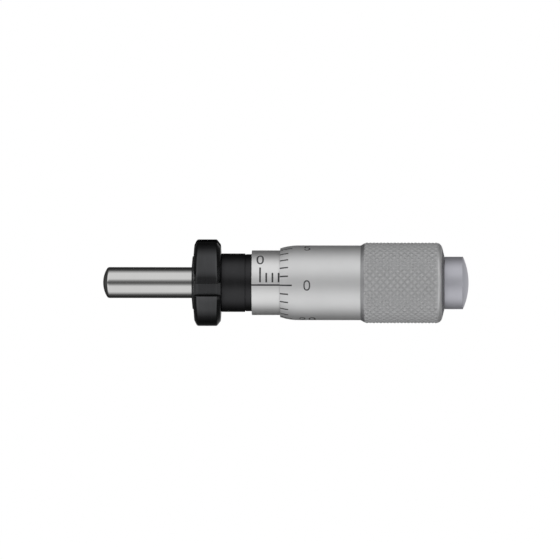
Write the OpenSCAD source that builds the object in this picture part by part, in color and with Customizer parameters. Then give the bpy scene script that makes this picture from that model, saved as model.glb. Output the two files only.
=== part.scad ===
// Micrometer head with a plain thimble and a nut-clamped stem, 0 to .25 inch.
// The axis lies along X. The spindle points to -X, the thimble is at +X.
// The origin is on the axis at the seat shoulder, and the scale faces -Y.
// All sizes are in millimetres, and the scales are in thousandths of an inch.

/* [Stem] */
// Diameter of the ground mounting stem
stem_d = 6; // [5.2:0.05:8]
// Length of the stem ahead of the seat shoulder
stem_l = 6.2; // [5.6:0.1:9]
// Depth by which the threaded nose is smaller than the ground stem, in radius
nose_step = 0.22; // [0.16:0.01:0.3]
// Length of the threaded nose
nose_l = 3.15; // [2.9:0.05:3.6]
// Chamfer on the end of the nose
nose_chamfer = 0.1; // [0.05:0.01:0.2]
// Depth of the relief at the shoulder, in radius
relief_depth = 0.155; // [0.155:0.005:0.25]
// Length of the relief at the shoulder
relief_l = 0.7; // [0.3:0.05:1.2]
// Height of the scale sleeve's seat above the stem
seat_h = 0.1; // [0.05:0.01:0.3]
// Depth of the stem's own shoulder behind the sleeve's front face
seat_set_back = 0.05; // [0.02:0.01:0.2]
// Length of the collar that backs the scale sleeve
collar_l = 0.8; // [0.4:0.1:1.2]
// Height of the collar above the sleeve seat
collar_h = 0.12; // [0.05:0.01:0.13]
// Step from the scale sleeve's seat down to the rear end
tail_step = 0.25; // [0.1:0.01:0.4]

/* [Feed thread] */
// Pitch of the feed thread, one fortieth of an inch
pitch = 0.635; // [0.5:0.005:0.7]
// Height of the feed thread above the ground spindle
feed_h = 0.41; // [0.35:0.01:0.55]
// Length of the threaded hole in the rear end of the stem
feed_nut_l = 4.4; // [3.6:0.1:4.6]
// Slots that let the rear end close on the thread
slot_count = 3; // [2:1:4]
// Width of each slot
slot_w = 0.4; // [0.2:0.05:0.6]
// Taper of the rear end under the adjusting nut, in radius
tail_taper = 0.15; // [0.08:0.01:0.2]
// Gap between the rear end and the thimble's web at the zero reading
tail_gap = 0.35; // [0.2:0.05:0.5]
// Clearance of the running fits, in radius
running_clear = 0.02; // [0.01:0.005:0.04]

/* [Scale sleeve] */
// Wall of the scale sleeve
sleeve_wall = 0.2; // [0.15:0.01:0.4]
// Length of the scale sleeve
sleeve_l = 9; // [8.2:0.1:9.4]
// Rounding of the sleeve's edges
sleeve_edge = 0.08; // [0.03:0.01:0.1]
// Distance from the shoulder to the zero line
zero_line_x = 0.89; // [0.7:0.01:1.1]
// Lines on the sleeve after the zero line
scale_divisions = 10; // [8:1:10]
// Sleeve lines between two long ones
long_every = 4; // [2:1:5]
// Width of the sleeve's lines
sleeve_line_w = 0.18; // [0.1:0.01:0.25]
// Depth of every engraved line
line_depth = 0.05; // [0.02:0.01:0.08]
// Gap between the datum line and the sleeve's lines, along the arc
line_gap = 0.28; // [0.15:0.01:0.5]
// Length of a short sleeve line, along the arc
short_line = 0.98; // [0.6:0.01:1.2]
// Length of a long sleeve line, along the arc
long_line = 1.58; // [1.3:0.01:2]
// Diameter of the spanner hole opposite the datum line
spanner_hole_d = 0.8; // [0.5:0.05:1]
// Distance from the shoulder to the spanner hole
spanner_hole_x = 1.3; // [1:0.05:2]

/* [Clamp nut] */
// Outside diameter of the clamp nut
nut_d = 8.9; // [8.2:0.05:10]
// Width of the clamp nut
nut_w = 2.85; // [2.2:0.05:3]
// Gap between the nut and the end of its thread
nut_gap = 0.08; // [0.05:0.01:0.3]
// Chamfer on the rim of the nut
nut_chamfer = 0.34; // [0.1:0.02:0.5]
// Depth by which the nut's faces slope back to the chamfer
nut_face_slope = 0.2; // [0.05:0.01:0.3]
// Width of the flat ring on each face of the nut
nut_land = 0.65; // [0.4:0.05:0.8]
// Number of spanner notches
notch_count = 4; // [3:1:6]
// Width of a spanner notch
notch_w = 1.33; // [0.8:0.01:1.6]
// Depth of a spanner notch
notch_depth = 0.8; // [0.4:0.05:0.9]
// Angle of the first notch below the datum line, in degrees
notch_turn = 6.2; // [0:0.1:30]
// Clearance of the nut on the threaded nose, in radius
nut_clear = 0.025; // [0.02:0.005:0.05]

/* [Adjusting nut] */
// Gap between the adjusting nut and the thimble
adjuster_gap = 0.17; // [0.1:0.01:0.25]
// Width of the adjusting nut
adjuster_w = 2; // [1.4:0.1:2.4]
// Chamfer on the adjusting nut
adjuster_chamfer = 0.15; // [0.05:0.01:0.2]
// Width of the two spanner slots in its rear face
adjuster_slot_w = 0.8; // [0.5:0.05:1]
// Depth of the spanner slots
adjuster_slot_depth = 0.5; // [0.3:0.05:0.7]

/* [Spindle] */
// Diameter of the ground spindle
spindle_d = 3.175; // [2.9:0.005:3.4]
// Length of the spindle ahead of the stem at the zero reading
spindle_out = 10.98; // [9:0.02:12]
// Radius of the spherical tip
tip_r = 2.6; // [2:0.05:4]
// Break on the edge between the tip and the ground spindle
tip_edge = 0.1; // [0.03:0.01:0.15]
// Step from the feed thread down to the taper that carries the thimble
taper_step = 0.15; // [0.1:0.01:0.3]
// Fall of the taper's radius along the seat
taper_fall = 0.25; // [0.15:0.01:0.3]
// Diameter of the tapped hole in the spindle's end
tapped_d = 1.6; // [1.4:0.05:1.8]
// Depth of the tapped hole
tapped_l = 3; // [2.5:0.1:4]
// Clearance of the taper in the thimble, in radius
taper_clear = 0.005; // [0.002:0.001:0.01]
// Distance by which the spindle's end stays inside the thimble
taper_short = 0.2; // [0.1:0.02:0.4]

/* [Thimble] */
// Sleeve divisions read out at rest
reading = 3; // [0:1:10]
// Clearance between the thimble and the scale sleeve, in radius
thimble_clear = 0.05; // [0.03:0.005:0.07]
// Thickness of the thimble's front edge
lip_t = 0.13; // [0.08:0.01:0.18]
// Distance from the sleeve line that is read to the thimble's front edge
lip_lead = 0.115; // [0.05:0.005:0.2]
// Wall of the plain barrel
barrel_wall = 0.465; // [0.35:0.005:0.7]
// Distance from the front edge to the end of the curved nose
nose_curve_l = 1.88; // [1.5:0.02:2.4]
// Distance from the front edge to the knurled grip
barrel_l = 8.25; // [7:0.05:9]
// Height of the knurled grip above the barrel
grip_h = 0.305; // [0.2:0.005:0.5]
// Length of the bevel up to the grip
grip_bevel_l = 0.5; // [0.3:0.05:0.8]
// Length of the thimble from its front edge to its end face
thimble_l = 16.85; // [16.5:0.05:17.6]
// Radius of the corner at the thimble's end
end_corner_r = 0.75; // [0.3:0.05:0.9]
// Depth of the sloped end face
end_slope_l = 0.42; // [0.2:0.02:0.6]
// Thickness of the web that seats on the taper
web_t = 2.55; // [2.2:0.05:2.6]
// Divisions on the thimble
thimble_divisions = 25; // [20:1:30]
// Thimble divisions between two numbered ones
number_every = 5; // [2:1:10]
// Width of the thimble's lines
thimble_line_w = 0.15; // [0.1:0.01:0.2]
// Length of a short thimble line
thimble_short = 0.85; // [0.6:0.01:1]
// Length of a numbered thimble line
thimble_long = 1.25; // [1.1:0.01:1.6]

/* [End cap] */
// Diameter of the end cap
cap_d = 5.39; // [5:0.01:5.6]
// Length of the cap's straight side
cap_l = 1.88; // [1.4:0.02:2.6]
// Height of the cap's domed end
cap_dome_h = 0.58; // [0.3:0.02:0.9]
// Width of the flat ring round the cap on the thimble's end
cap_ledge = 0.06; // [0.02:0.01:0.15]
// Clearance between the cap and the thimble's end face
cap_clear = 0.03; // [0.02:0.005:0.06]
// Length of the cap's shank
shank_l = 2.4; // [1.8:0.1:2.6]

/* [Hidden] */
$fn = 96;

black_steel = "#26282a";
satin_chrome = "#c9ccce";
ground_steel = "#b4b8bb";
plain_steel = "#a3a4ab";

// How far a cut runs past the face that it opens
over = 0.2;

// Stem
stem_r = stem_d / 2;
nose_r = stem_r - nose_step;
relief_r = stem_r - relief_depth;
seat_r = stem_r + seat_h;
collar_r = seat_r + collar_h;
tail_r = seat_r - tail_step;
tail_end_r = tail_r - tail_taper;
guide_r = spindle_d / 2 + running_clear;
feed_r = spindle_d / 2 + feed_h;
feed_bore_r = feed_r + running_clear;
feed_room_r = feed_bore_r + pitch / 4;
nose_end_x = nose_l - stem_l;
collar_x = sleeve_l + running_clear;

// Places along the axis, with the thimble at its rest reading
travel_in = reading * pitch;
travel_out = (scale_divisions - reading) * pitch;
lip_x = zero_line_x + travel_in + lip_lead;
thimble_end_x = lip_x + thimble_l;
web_x = thimble_end_x - web_t;
tail_x = web_x - travel_in - tail_gap;
feed_nut_x = tail_x - feed_nut_l;
slot_x = feed_nut_x - slot_w;
thread_x = feed_nut_x - travel_out - pitch;
thread_room_x = thread_x - travel_in - pitch;
spindle_tip_x = -stem_l - spindle_out + travel_in;

// Scale sleeve
sleeve_bore_r = seat_r + running_clear;
sleeve_r = sleeve_bore_r + sleeve_wall;
datum_l = zero_line_x + scale_divisions * pitch + sleeve_line_w;

// Clamp nut
nut_r = nut_d / 2;
nut_bore_r = nose_r + nut_clear;
nut_x = nose_end_x - nut_gap - nut_w;

// Adjusting nut
adjuster_x = tail_x - adjuster_w - pitch;
function tail_taper_r(x) = tail_r - tail_taper * (x - feed_nut_x) / feed_nut_l;

// Thimble
thimble_bore_r = sleeve_r + thimble_clear;
lip_r = thimble_bore_r + lip_t;
barrel_r = thimble_bore_r + barrel_wall;
grip_r = barrel_r + grip_h;
nose_fall = barrel_r - lip_r;
nose_curve_r = (nose_curve_l * nose_curve_l + nose_fall * nose_fall) / (2 * nose_fall);
function nose_r_at(l) =
    barrel_r - nose_curve_r + sqrt(nose_curve_r * nose_curve_r - pow(nose_curve_l - l, 2));

// End cap
cap_r = cap_d / 2;
cap_x = thimble_end_x + cap_clear;
cap_end_x = cap_x + cap_l + cap_dome_h;
cap_dome_r = (cap_r * cap_r + cap_dome_h * cap_dome_h) / (2 * cap_dome_h);
end_face_r = cap_r + cap_ledge;

// The rounded corner between the grip and the sloped end face
slope_x = thimble_end_x - end_slope_l;
slope_fall = grip_r - end_face_r;
slope_angle = atan2(slope_fall, end_slope_l);
corner_l = end_corner_r * tan(slope_angle / 2);
corner_x = slope_x - corner_l;
corner_end = [slope_x + corner_l * cos(slope_angle), grip_r - corner_l * sin(slope_angle)];
// How far the corner's circle is drawn inside its tangents, so that it crosses them cleanly
corner_inset = 0.003;

// Spindle taper and its tapped end
spindle_end_x = thimble_end_x - taper_short;
taper_r = feed_r - taper_step;
tapped_r = tapped_d / 2;
shank_r = tapped_r - running_clear;
function taper_r_at(x) = taper_r - taper_fall * (x - web_x) / (spindle_end_x - web_x);

// Turns a solid drawn along Z so that it lies along X
module along_x() {
    rotate([0, 90, 0]) children();
}

// Half of a turned piece's section, from its [x, radius] points
module outline(points) {
    polygon([for (p = points) [p[1], p[0]]]);
}

// A turned piece from its [x, radius] points
module turned(points) {
    along_x() rotate_extrude() outline(points);
}

// A round bar between two places on the axis
module bar(x0, x1, r) {
    translate([x0, 0, 0]) along_x() cylinder(h = x1 - x0, r = r);
}

// Places a cut on the scale side, turned up from the datum line by an angle
module facing(up = 0) {
    rotate([-up, 0, 0]) children();
}

// A line engraved along the sleeve's datum
module datum_line() {
    translate([sleeve_edge, -sleeve_r - over, -sleeve_line_w / 2])
        cube([datum_l - sleeve_edge, over + line_depth, sleeve_line_w]);
}

// A line engraved round the sleeve, starting above the datum and running up by an arc length
module sleeve_line(x, arc) {
    a0 = line_gap / sleeve_r * 180 / PI;
    a1 = (line_gap + arc) / sleeve_r * 180 / PI;
    translate([x - sleeve_line_w / 2, 0, 0]) along_x() rotate([0, 0, 270 - a1])
        rotate_extrude(angle = a1 - a0) translate([sleeve_r - line_depth, 0])
            square([line_depth + over, sleeve_line_w]);
}

// A line engraved on the thimble's nose, from the front edge back by a length
module thimble_line(l) {
    rise = atan2(nose_r_at(l) - lip_r, l);
    translate([lip_x, line_depth - lip_r, -thimble_line_w / 2]) rotate([0, 0, -rise])
        translate([-over, -over, 0]) cube([over + l / cos(rise), over, thimble_line_w]);
}

module stem() {
    color(black_steel) difference() {
        turned([
            [-stem_l, guide_r],
            [-stem_l, nose_r - nose_chamfer],
            [nose_chamfer - stem_l, nose_r],
            [nose_end_x, nose_r],
            [nose_end_x, stem_r],
            [-relief_l, stem_r],
            [-relief_l, relief_r],
            [seat_set_back, relief_r],
            [seat_set_back, seat_r],
            [collar_x, seat_r],
            [collar_x, collar_r],
            [collar_x + collar_l, collar_r],
            [collar_x + collar_l, tail_r],
            [feed_nut_x, tail_r],
            [tail_x, tail_end_r],
            [tail_x, feed_bore_r],
            [feed_nut_x, feed_bore_r],
            [feed_nut_x, feed_room_r],
            [thread_room_x, feed_room_r],
            [thread_room_x - (feed_r - guide_r), guide_r],
        ]);
        for (i = [0:slot_count - 1]) rotate([i * 360 / slot_count, 0, 0])
            translate([slot_x, 0, -slot_w / 2]) cube([tail_x + over - slot_x, tail_r + over, slot_w]);
    }
}

module scale_sleeve() {
    color(satin_chrome) difference() {
        turned([
            [0, sleeve_bore_r],
            [0, sleeve_r - sleeve_edge],
            [sleeve_edge, sleeve_r],
            [sleeve_l - sleeve_edge, sleeve_r],
            [sleeve_l, sleeve_r - sleeve_edge],
            [sleeve_l, sleeve_bore_r],
        ]);
        datum_line();
        for (i = [0:scale_divisions])
            sleeve_line(zero_line_x + i * pitch, i % long_every == 0 ? long_line : short_line);
        translate([spanner_hole_x, sleeve_r + over, 0]) rotate([90, 0, 0])
            cylinder(h = sleeve_r, d = spanner_hole_d);
    }
}

module clamp_nut() {
    rim_r = nut_r - nut_chamfer;
    rim_l = nut_chamfer + nut_face_slope;
    land_r = nut_bore_r + nut_land;
    color(black_steel) translate([nut_x, 0, 0]) difference() {
        turned([
            [0, nut_bore_r],
            [0, land_r],
            [nut_face_slope, rim_r],
            [rim_l, nut_r],
            [nut_w - rim_l, nut_r],
            [nut_w - nut_face_slope, rim_r],
            [nut_w, land_r],
            [nut_w, nut_bore_r],
        ]);
        for (i = [0:notch_count - 1]) facing(i * 360 / notch_count - notch_turn)
            translate([-over, -nut_r - over, -notch_w / 2])
                cube([nut_w + 2 * over, notch_depth + over, notch_w]);
    }
}

module adjusting_nut() {
    r = thimble_bore_r - adjuster_gap;
    rear_x = adjuster_x + adjuster_w;
    color(black_steel) difference() {
        turned([
            [adjuster_x, tail_taper_r(adjuster_x) + running_clear],
            [adjuster_x, r - adjuster_chamfer],
            [adjuster_x + adjuster_chamfer, r],
            [rear_x - adjuster_chamfer, r],
            [rear_x, r - adjuster_chamfer],
            [rear_x, tail_taper_r(rear_x) + running_clear],
        ]);
        translate([rear_x - adjuster_slot_depth, -r - over, -adjuster_slot_w / 2])
            cube([adjuster_slot_depth + over, 2 * (r + over), adjuster_slot_w]);
    }
}

module spindle() {
    r = spindle_d / 2;
    tip_l = tip_r - sqrt(tip_r * tip_r - pow(r - tip_edge, 2));
    tip_x = spindle_tip_x + tip_l;
    color(ground_steel) difference() {
        along_x() rotate_extrude() union() {
            intersection() {
                translate([0, spindle_tip_x + tip_r]) circle(tip_r);
                translate([0, spindle_tip_x - over]) square([r, tip_l + over]);
            }
            outline([
                [tip_x, 0],
                [tip_x, r - tip_edge],
                [tip_x + tip_edge, r],
                [thread_x, r],
                [thread_x + feed_r - r, feed_r],
                [web_x - pitch / 2, feed_r],
                [web_x - pitch / 2, taper_r],
                [web_x, taper_r],
                [spindle_end_x, taper_r_at(spindle_end_x)],
                [spindle_end_x, 0],
            ]);
        }
        bar(spindle_end_x - tapped_l, spindle_end_x + over, tapped_r);
    }
}

// The thimble's section: a curved nose, the barrel, the grip and the web with the taper seat
module thimble_section() {
    intersection() {
        translate([thimble_bore_r, lip_x]) square([barrel_r - thimble_bore_r, nose_curve_l]);
        translate([barrel_r - nose_curve_r, lip_x + nose_curve_l]) circle(nose_curve_r);
    }
    outline([
        [lip_x + nose_curve_l, thimble_bore_r],
        [lip_x + nose_curve_l, barrel_r],
        [lip_x + barrel_l, barrel_r],
        [lip_x + barrel_l + grip_bevel_l, grip_r],
        [corner_x, grip_r],
        corner_end,
        [thimble_end_x, end_face_r],
        [thimble_end_x, taper_r_at(thimble_end_x) + taper_clear],
        [web_x, taper_r + taper_clear],
        [web_x, thimble_bore_r],
    ]);
    translate([grip_r - end_corner_r, corner_x]) circle(end_corner_r - corner_inset);
}

module thimble() {
    color(satin_chrome) difference() {
        along_x() rotate_extrude() thimble_section();
        for (i = [0:thimble_divisions - 1]) facing(i * 360 / thimble_divisions)
            thimble_line(i % number_every == 0 ? thimble_long : thimble_short);
    }
}

module end_cap() {
    color(plain_steel) along_x() rotate_extrude() union() {
        intersection() {
            translate([0, cap_x]) square([cap_r, cap_l + cap_dome_h + over]);
            translate([0, cap_end_x - cap_dome_r]) circle(cap_dome_r);
        }
        translate([0, spindle_end_x - shank_l]) square([shank_r, cap_x - spindle_end_x + shank_l]);
    }
}

stem();
scale_sleeve();
clamp_nut();
adjusting_nut();
spindle();
thimble();
end_cap();
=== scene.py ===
"""Dresses the micrometer head with turned, threaded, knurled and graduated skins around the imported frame."""

import logging
import math
from collections.abc import Sequence
from dataclasses import dataclass
from enum import Enum

import bmesh
import bpy
import numpy as np
from mathutils import Matrix, Vector


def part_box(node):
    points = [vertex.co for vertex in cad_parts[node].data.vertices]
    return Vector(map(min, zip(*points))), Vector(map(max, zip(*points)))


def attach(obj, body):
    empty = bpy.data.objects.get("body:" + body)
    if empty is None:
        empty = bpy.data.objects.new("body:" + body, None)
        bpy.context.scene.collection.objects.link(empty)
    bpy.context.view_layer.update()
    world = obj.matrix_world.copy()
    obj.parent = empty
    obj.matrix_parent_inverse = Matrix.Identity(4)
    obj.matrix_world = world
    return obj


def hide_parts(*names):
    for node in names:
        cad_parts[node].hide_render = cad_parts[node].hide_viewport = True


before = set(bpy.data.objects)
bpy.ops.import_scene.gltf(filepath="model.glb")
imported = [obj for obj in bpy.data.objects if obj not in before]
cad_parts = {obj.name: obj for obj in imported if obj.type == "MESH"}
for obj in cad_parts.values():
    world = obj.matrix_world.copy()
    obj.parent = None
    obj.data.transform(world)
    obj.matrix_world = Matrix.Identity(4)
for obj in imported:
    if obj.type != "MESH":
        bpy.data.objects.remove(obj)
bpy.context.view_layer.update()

Array = np.ndarray
Colour = tuple[float, float, float]
Material = bpy.types.Material
Pair = tuple[float, float]
Piece = bpy.types.Object
Socket = bpy.types.NodeSocket

MM = 0.001
FULL_TURN = 2 * math.pi
SHARP_EDGE = math.radians(38)
MERGE_DISTANCE = 2e-7
SLIVER_LENGTH = 1e-8
SAME_PLACE = 1e-6
MOST_OF_A_SIDE = 0.48
CREST_FLAT = 0.125
ROOT_FLAT = 0.25
ROWS_PER_PITCH = 12
NOISE_SPAN = (0.3, 0.7)
WHITE = (1, 1, 1, 1)
log = logging.getLogger("micrometer_head")


class Body(Enum):
    """Moving bodies of the frame that pieces ride on."""

    STEM = "stem_group"
    SLEEVE = "sleeve"
    NUT = "nut"
    CAP = "cap"
    THIMBLE = "thimble_group"


class Mark(Enum):
    """Point attributes that the finishes read."""

    WEAR = "edge_wear"
    # Depth share of the knurl, by which a finish paints shade into the grooves.
    GROOVE = "groove_depth"


# Turned and threaded surfaces


def rounded(corners: Sequence[Sequence[float]], steps: int = 5) -> Array:
    """Profile of a turned piece with rounded corners.

    Each corner but the first and last gives way to the quadratic curve (1-s)^2 A + 2s(1-s) C + s^2 B between
    the points A and B that lie fillet / tan(half the inner angle) from it along its sides, and never past the
    middle of a side. The wear is 4s(1-s), which is 1 in the middle of a rounding and 0 on the flats.

    Args:
        corners: Rows of [x, radius, fillet], in mm.
        steps: Points on each rounding.

    Returns:
        Rows of [x, radius, wear].
    """
    table = np.asarray(corners, float)
    point, fillet = table[:, :2], table[:, 2]
    before = np.roll(point, 1, axis=0) - point
    after = np.roll(point, -1, axis=0) - point
    run_in = np.linalg.norm(before, axis=1)
    run_out = np.linalg.norm(after, axis=1)
    before = before / run_in[:, None]
    after = after / run_out[:, None]
    half = 0.5 * np.arccos(np.clip((before * after).sum(axis=1), -1, 1))
    cut = np.minimum(fillet / np.tan(half), MOST_OF_A_SIDE * np.minimum(run_in, run_out))
    cut[[0, -1]] = 0
    s = np.linspace(0, 1, steps)[None, :, None]
    start = (point + before * cut[:, None])[:, None]
    end = (point + after * cut[:, None])[:, None]
    curve = (1 - s) ** 2 * start + 2 * s * (1 - s) * point[:, None] + s**2 * end
    wear = 4 * s[..., 0] * (1 - s[..., 0]) * (cut > 0)[:, None]
    rows = np.column_stack([curve.reshape(-1, 2), wear.reshape(-1)])
    apart = np.linalg.norm(np.diff(rows[:, :2], axis=0), axis=1) > SAME_PLACE
    return rows[np.r_[True, apart]]


def with_rows(profile: Array, places: Array) -> Array:
    """Adds rows to a profile whose x never falls.

    Every column is interpolated along the profile's own length, and a place along x is first turned into a
    length.

    Args:
        profile: Rows of [x, radius, wear].
        places: New places along x, in mm.

    Returns:
        The profile with the old and new rows in order.
    """
    step = np.linalg.norm(np.diff(profile[:, :2], axis=0), axis=1)
    length = np.r_[0, np.cumsum(step)]
    added = np.interp(places, profile[:, 0], length)
    every = np.unique(np.r_[length, added].round(7))
    return np.column_stack([np.interp(every, length, column) for column in profile.T])


def plain_rows(x: Array, radius: Array) -> Array:
    """Rows of [x, radius, 0], with no fillet and no wear."""
    return np.column_stack([x, radius, np.zeros(len(x))])


def turns(count: int) -> Array:
    """Evenly spaced angles of one full turn."""
    return np.arange(count) * FULL_TURN / count


def thread_radius(x: Array, turn: Array, pitch: float, root: float, crest: float) -> Array:
    """Radius on a right-handed thread.

    The phase is x / pitch + turn / full turn. The radius follows a triangle wave of the phase, cut off so
    that an eighth of the pitch stays flat at the crest and a quarter at the root.

    Args:
        x: Places along the axis, in mm.
        turn: Angles above the datum, in radians.
        pitch: Thread pitch, in mm.
        root: Radius at the root, in mm.
        crest: Radius at the crest, in mm.

    Returns:
        The radius at each place.
    """
    wave = np.abs(2 * ((x / pitch + turn / FULL_TURN) % 1.0) - 1)
    flank = 1 - ROOT_FLAT - CREST_FLAT
    return root + (crest - root) * np.clip((wave - ROOT_FLAT) / flank, 0, 1)


def smooth_step(value: Array, low: float, high: float) -> Array:
    """Cubic 3t^2 - 2t^3 from 0 at low to 1 at high."""
    t = np.clip((value - low) / (high - low), 0, 1)
    return t * t * (3 - 2 * t)


def round_axis(x: Array, radius: Array, turn: Array) -> Array:
    """Points (x, -radius cos(turn), radius sin(turn)) in metres, where a turn of 0 faces the datum side."""
    points = np.stack([x, -radius * np.cos(turn), radius * np.sin(turn)], axis=-1)
    return points.reshape(-1, 3) * MM


def grid_faces(index: Array, rows_join: bool, columns_join: bool, flipped: bool = False) -> Array:
    """Quads between the neighbours of a grid.

    Each quad goes from a point to the next row, on to the next column, and back to the row it came from.

    Args:
        index: Point numbers, with the rows and columns as the last two axes.
        rows_join: Whether the last row joins the first one.
        columns_join: Whether the last column joins the first one.
        flipped: Whether the quads go the other way about.

    Returns:
        Corner numbers, one row of four for each quad.
    """
    if rows_join:
        index = np.concatenate([index, index[..., :1, :]], axis=-2)
    if columns_join:
        index = np.concatenate([index, index[..., :1]], axis=-1)
    here, there = index[..., :-1, :], index[..., 1:, :]
    loop = [here[..., :-1], there[..., :-1], there[..., 1:], here[..., 1:]]
    faces = np.stack([part.reshape(-1) for part in loop], axis=1)
    return faces[:, [0, 3, 2, 1]] if flipped else faces


def make_piece(
    name: str,
    points: Array,
    faces: Array,
    marks: dict[Mark, Array] | None = None,
    slots: Array | None = None,
) -> Piece:
    """Makes a smooth-shaded mesh object from whole arrays, and closes its poles and seams.

    Args:
        name: Name of the piece.
        points: Points in metres.
        faces: Corner numbers, one row of four for each face.
        marks: Values for each point, where a finish reads them.
        slots: Material slot of each face, where there is more than one.

    Returns:
        The new object, at the origin.
    """
    mesh = bpy.data.meshes.new(name)
    mesh.vertices.add(len(points))
    mesh.vertices.foreach_set("co", points.astype(np.float32).reshape(-1))
    mesh.loops.add(faces.size)
    mesh.loops.foreach_set("vertex_index", faces.astype(np.int32).reshape(-1))
    mesh.polygons.add(len(faces))
    mesh.polygons.foreach_set("loop_start", np.arange(0, faces.size, faces.shape[1], dtype=np.int32))
    if slots is not None:
        mesh.polygons.foreach_set("material_index", slots.astype(np.int32))
    for mark, values in (marks or {}).items():
        layer = mesh.attributes.new(mark.value, "FLOAT", "POINT")
        layer.data.foreach_set("value", values.astype(np.float32))
    mesh.update(calc_edges=True)
    work = bmesh.new()
    work.from_mesh(mesh)
    bmesh.ops.remove_doubles(work, verts=work.verts, dist=MERGE_DISTANCE)
    bmesh.ops.dissolve_degenerate(work, edges=work.edges, dist=SLIVER_LENGTH)
    work.to_mesh(mesh)
    work.free()
    mesh.validate()
    mesh.shade_smooth()
    mesh.set_sharp_from_angle(angle=SHARP_EDGE)
    piece = bpy.data.objects.new(name, mesh)
    bpy.context.scene.collection.objects.link(piece)
    return piece


@dataclass
class Skin:
    """Grid of turned coordinates: rows follow a profile, columns go once round the axis."""

    x: Array
    radius: Array
    turn: Array
    wear: Array
    groove: Array
    slot: Array

    @classmethod
    def lathe(cls, profile: Array, columns: Array) -> "Skin":
        """Carries a profile round the axis.

        Args:
            profile: Rows of [x, radius, wear].
            columns: Angles of the columns, in radians.

        Returns:
            The plain grid, with no grooves and one material.
        """
        shape = (len(profile), len(columns))
        x, radius, wear = (np.repeat(column[:, None], shape[1], axis=1) for column in profile.T)
        turn = np.repeat(columns[None, :], shape[0], axis=0)
        return cls(x, radius, turn, wear, np.zeros(shape), np.zeros(shape, int))

    def piece(self, name: str, closed: bool) -> Piece:
        """Puts the grid into a mesh object. A face takes the highest material slot of its corners.

        Args:
            name: Name of the piece.
            closed: Whether the last row joins the first one.

        Returns:
            The new object, at the origin.
        """
        index = np.arange(self.x.size).reshape(self.x.shape)
        faces = grid_faces(index, rows_join=closed, columns_join=True)
        marks = {Mark.WEAR: self.wear.reshape(-1), Mark.GROOVE: self.groove.reshape(-1)}
        slots = self.slot.reshape(-1)[faces].max(axis=1)
        return make_piece(name, round_axis(self.x, self.radius, self.turn), faces, marks, slots)


# Finishes


class Nodes:
    """Nodes of one tree, and the few ways in which they are added and linked."""

    def __init__(self, tree: bpy.types.NodeTree) -> None:
        """Keeps the tree."""
        self.tree = tree

    def add(self, kind: str, **values: object) -> bpy.types.Node:
        """Adds a node and sets its properties.

        Args:
            kind: Type name of the node.
            values: Properties by name.

        Returns:
            The new node.
        """
        node = self.tree.nodes.new(kind)
        for key, value in values.items():
            setattr(node, key, value)
        return node

    def link(self, source: Socket, target: Socket) -> None:
        """Links two sockets."""
        self.tree.links.new(source, target)

    def put(self, value: Socket | float | Sequence[float], target: Socket) -> None:
        """Links a socket to the target, or sets a plain value on it.

        Args:
            value: Socket, number or colour.
            target: Socket that takes it.
        """
        if isinstance(value, Socket):
            self.link(value, target)
        else:
            target.default_value = value

    def math(self, operation: str, first: Socket, second: Socket | float = 0.0) -> Socket:
        """Combines two values, or works on the first one alone.

        Args:
            operation: Name of the operation.
            first: First value.
            second: Second value, where the operation has one.

        Returns:
            The result.
        """
        node = self.add("ShaderNodeMath", operation=operation)
        self.link(first, node.inputs[0])
        self.put(second, node.inputs[1])
        return node.outputs["Value"]

    def span(self, value: Socket, given: Pair, wanted: Pair, curve: str = "LINEAR") -> Socket:
        """Maps a value from one span to another, and no further.

        Args:
            value: Value to map.
            given: Ends of the value's own span.
            wanted: Ends of the new span.
            curve: Name of the interpolation.

        Returns:
            The mapped value.
        """
        node = self.add("ShaderNodeMapRange", interpolation_type=curve)
        for end, number in zip(("From Min", "From Max", "To Min", "To Max"), (*given, *wanted)):
            node.inputs[end].default_value = number
        self.link(value, node.inputs["Value"])
        return node.outputs["Result"]

    def seen(self) -> Socket:
        """Tells which rays see the surface.

        Returns:
            A value of 1 for rays of the camera, of mirrors and of glass, and 0 for the others.
        """
        path = self.add("ShaderNodeLightPath")
        total = self.math("ADD", path.outputs["Is Camera Ray"], path.outputs["Is Glossy Ray"])
        return self.math("ADD", total, path.outputs["Is Transmission Ray"])


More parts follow.
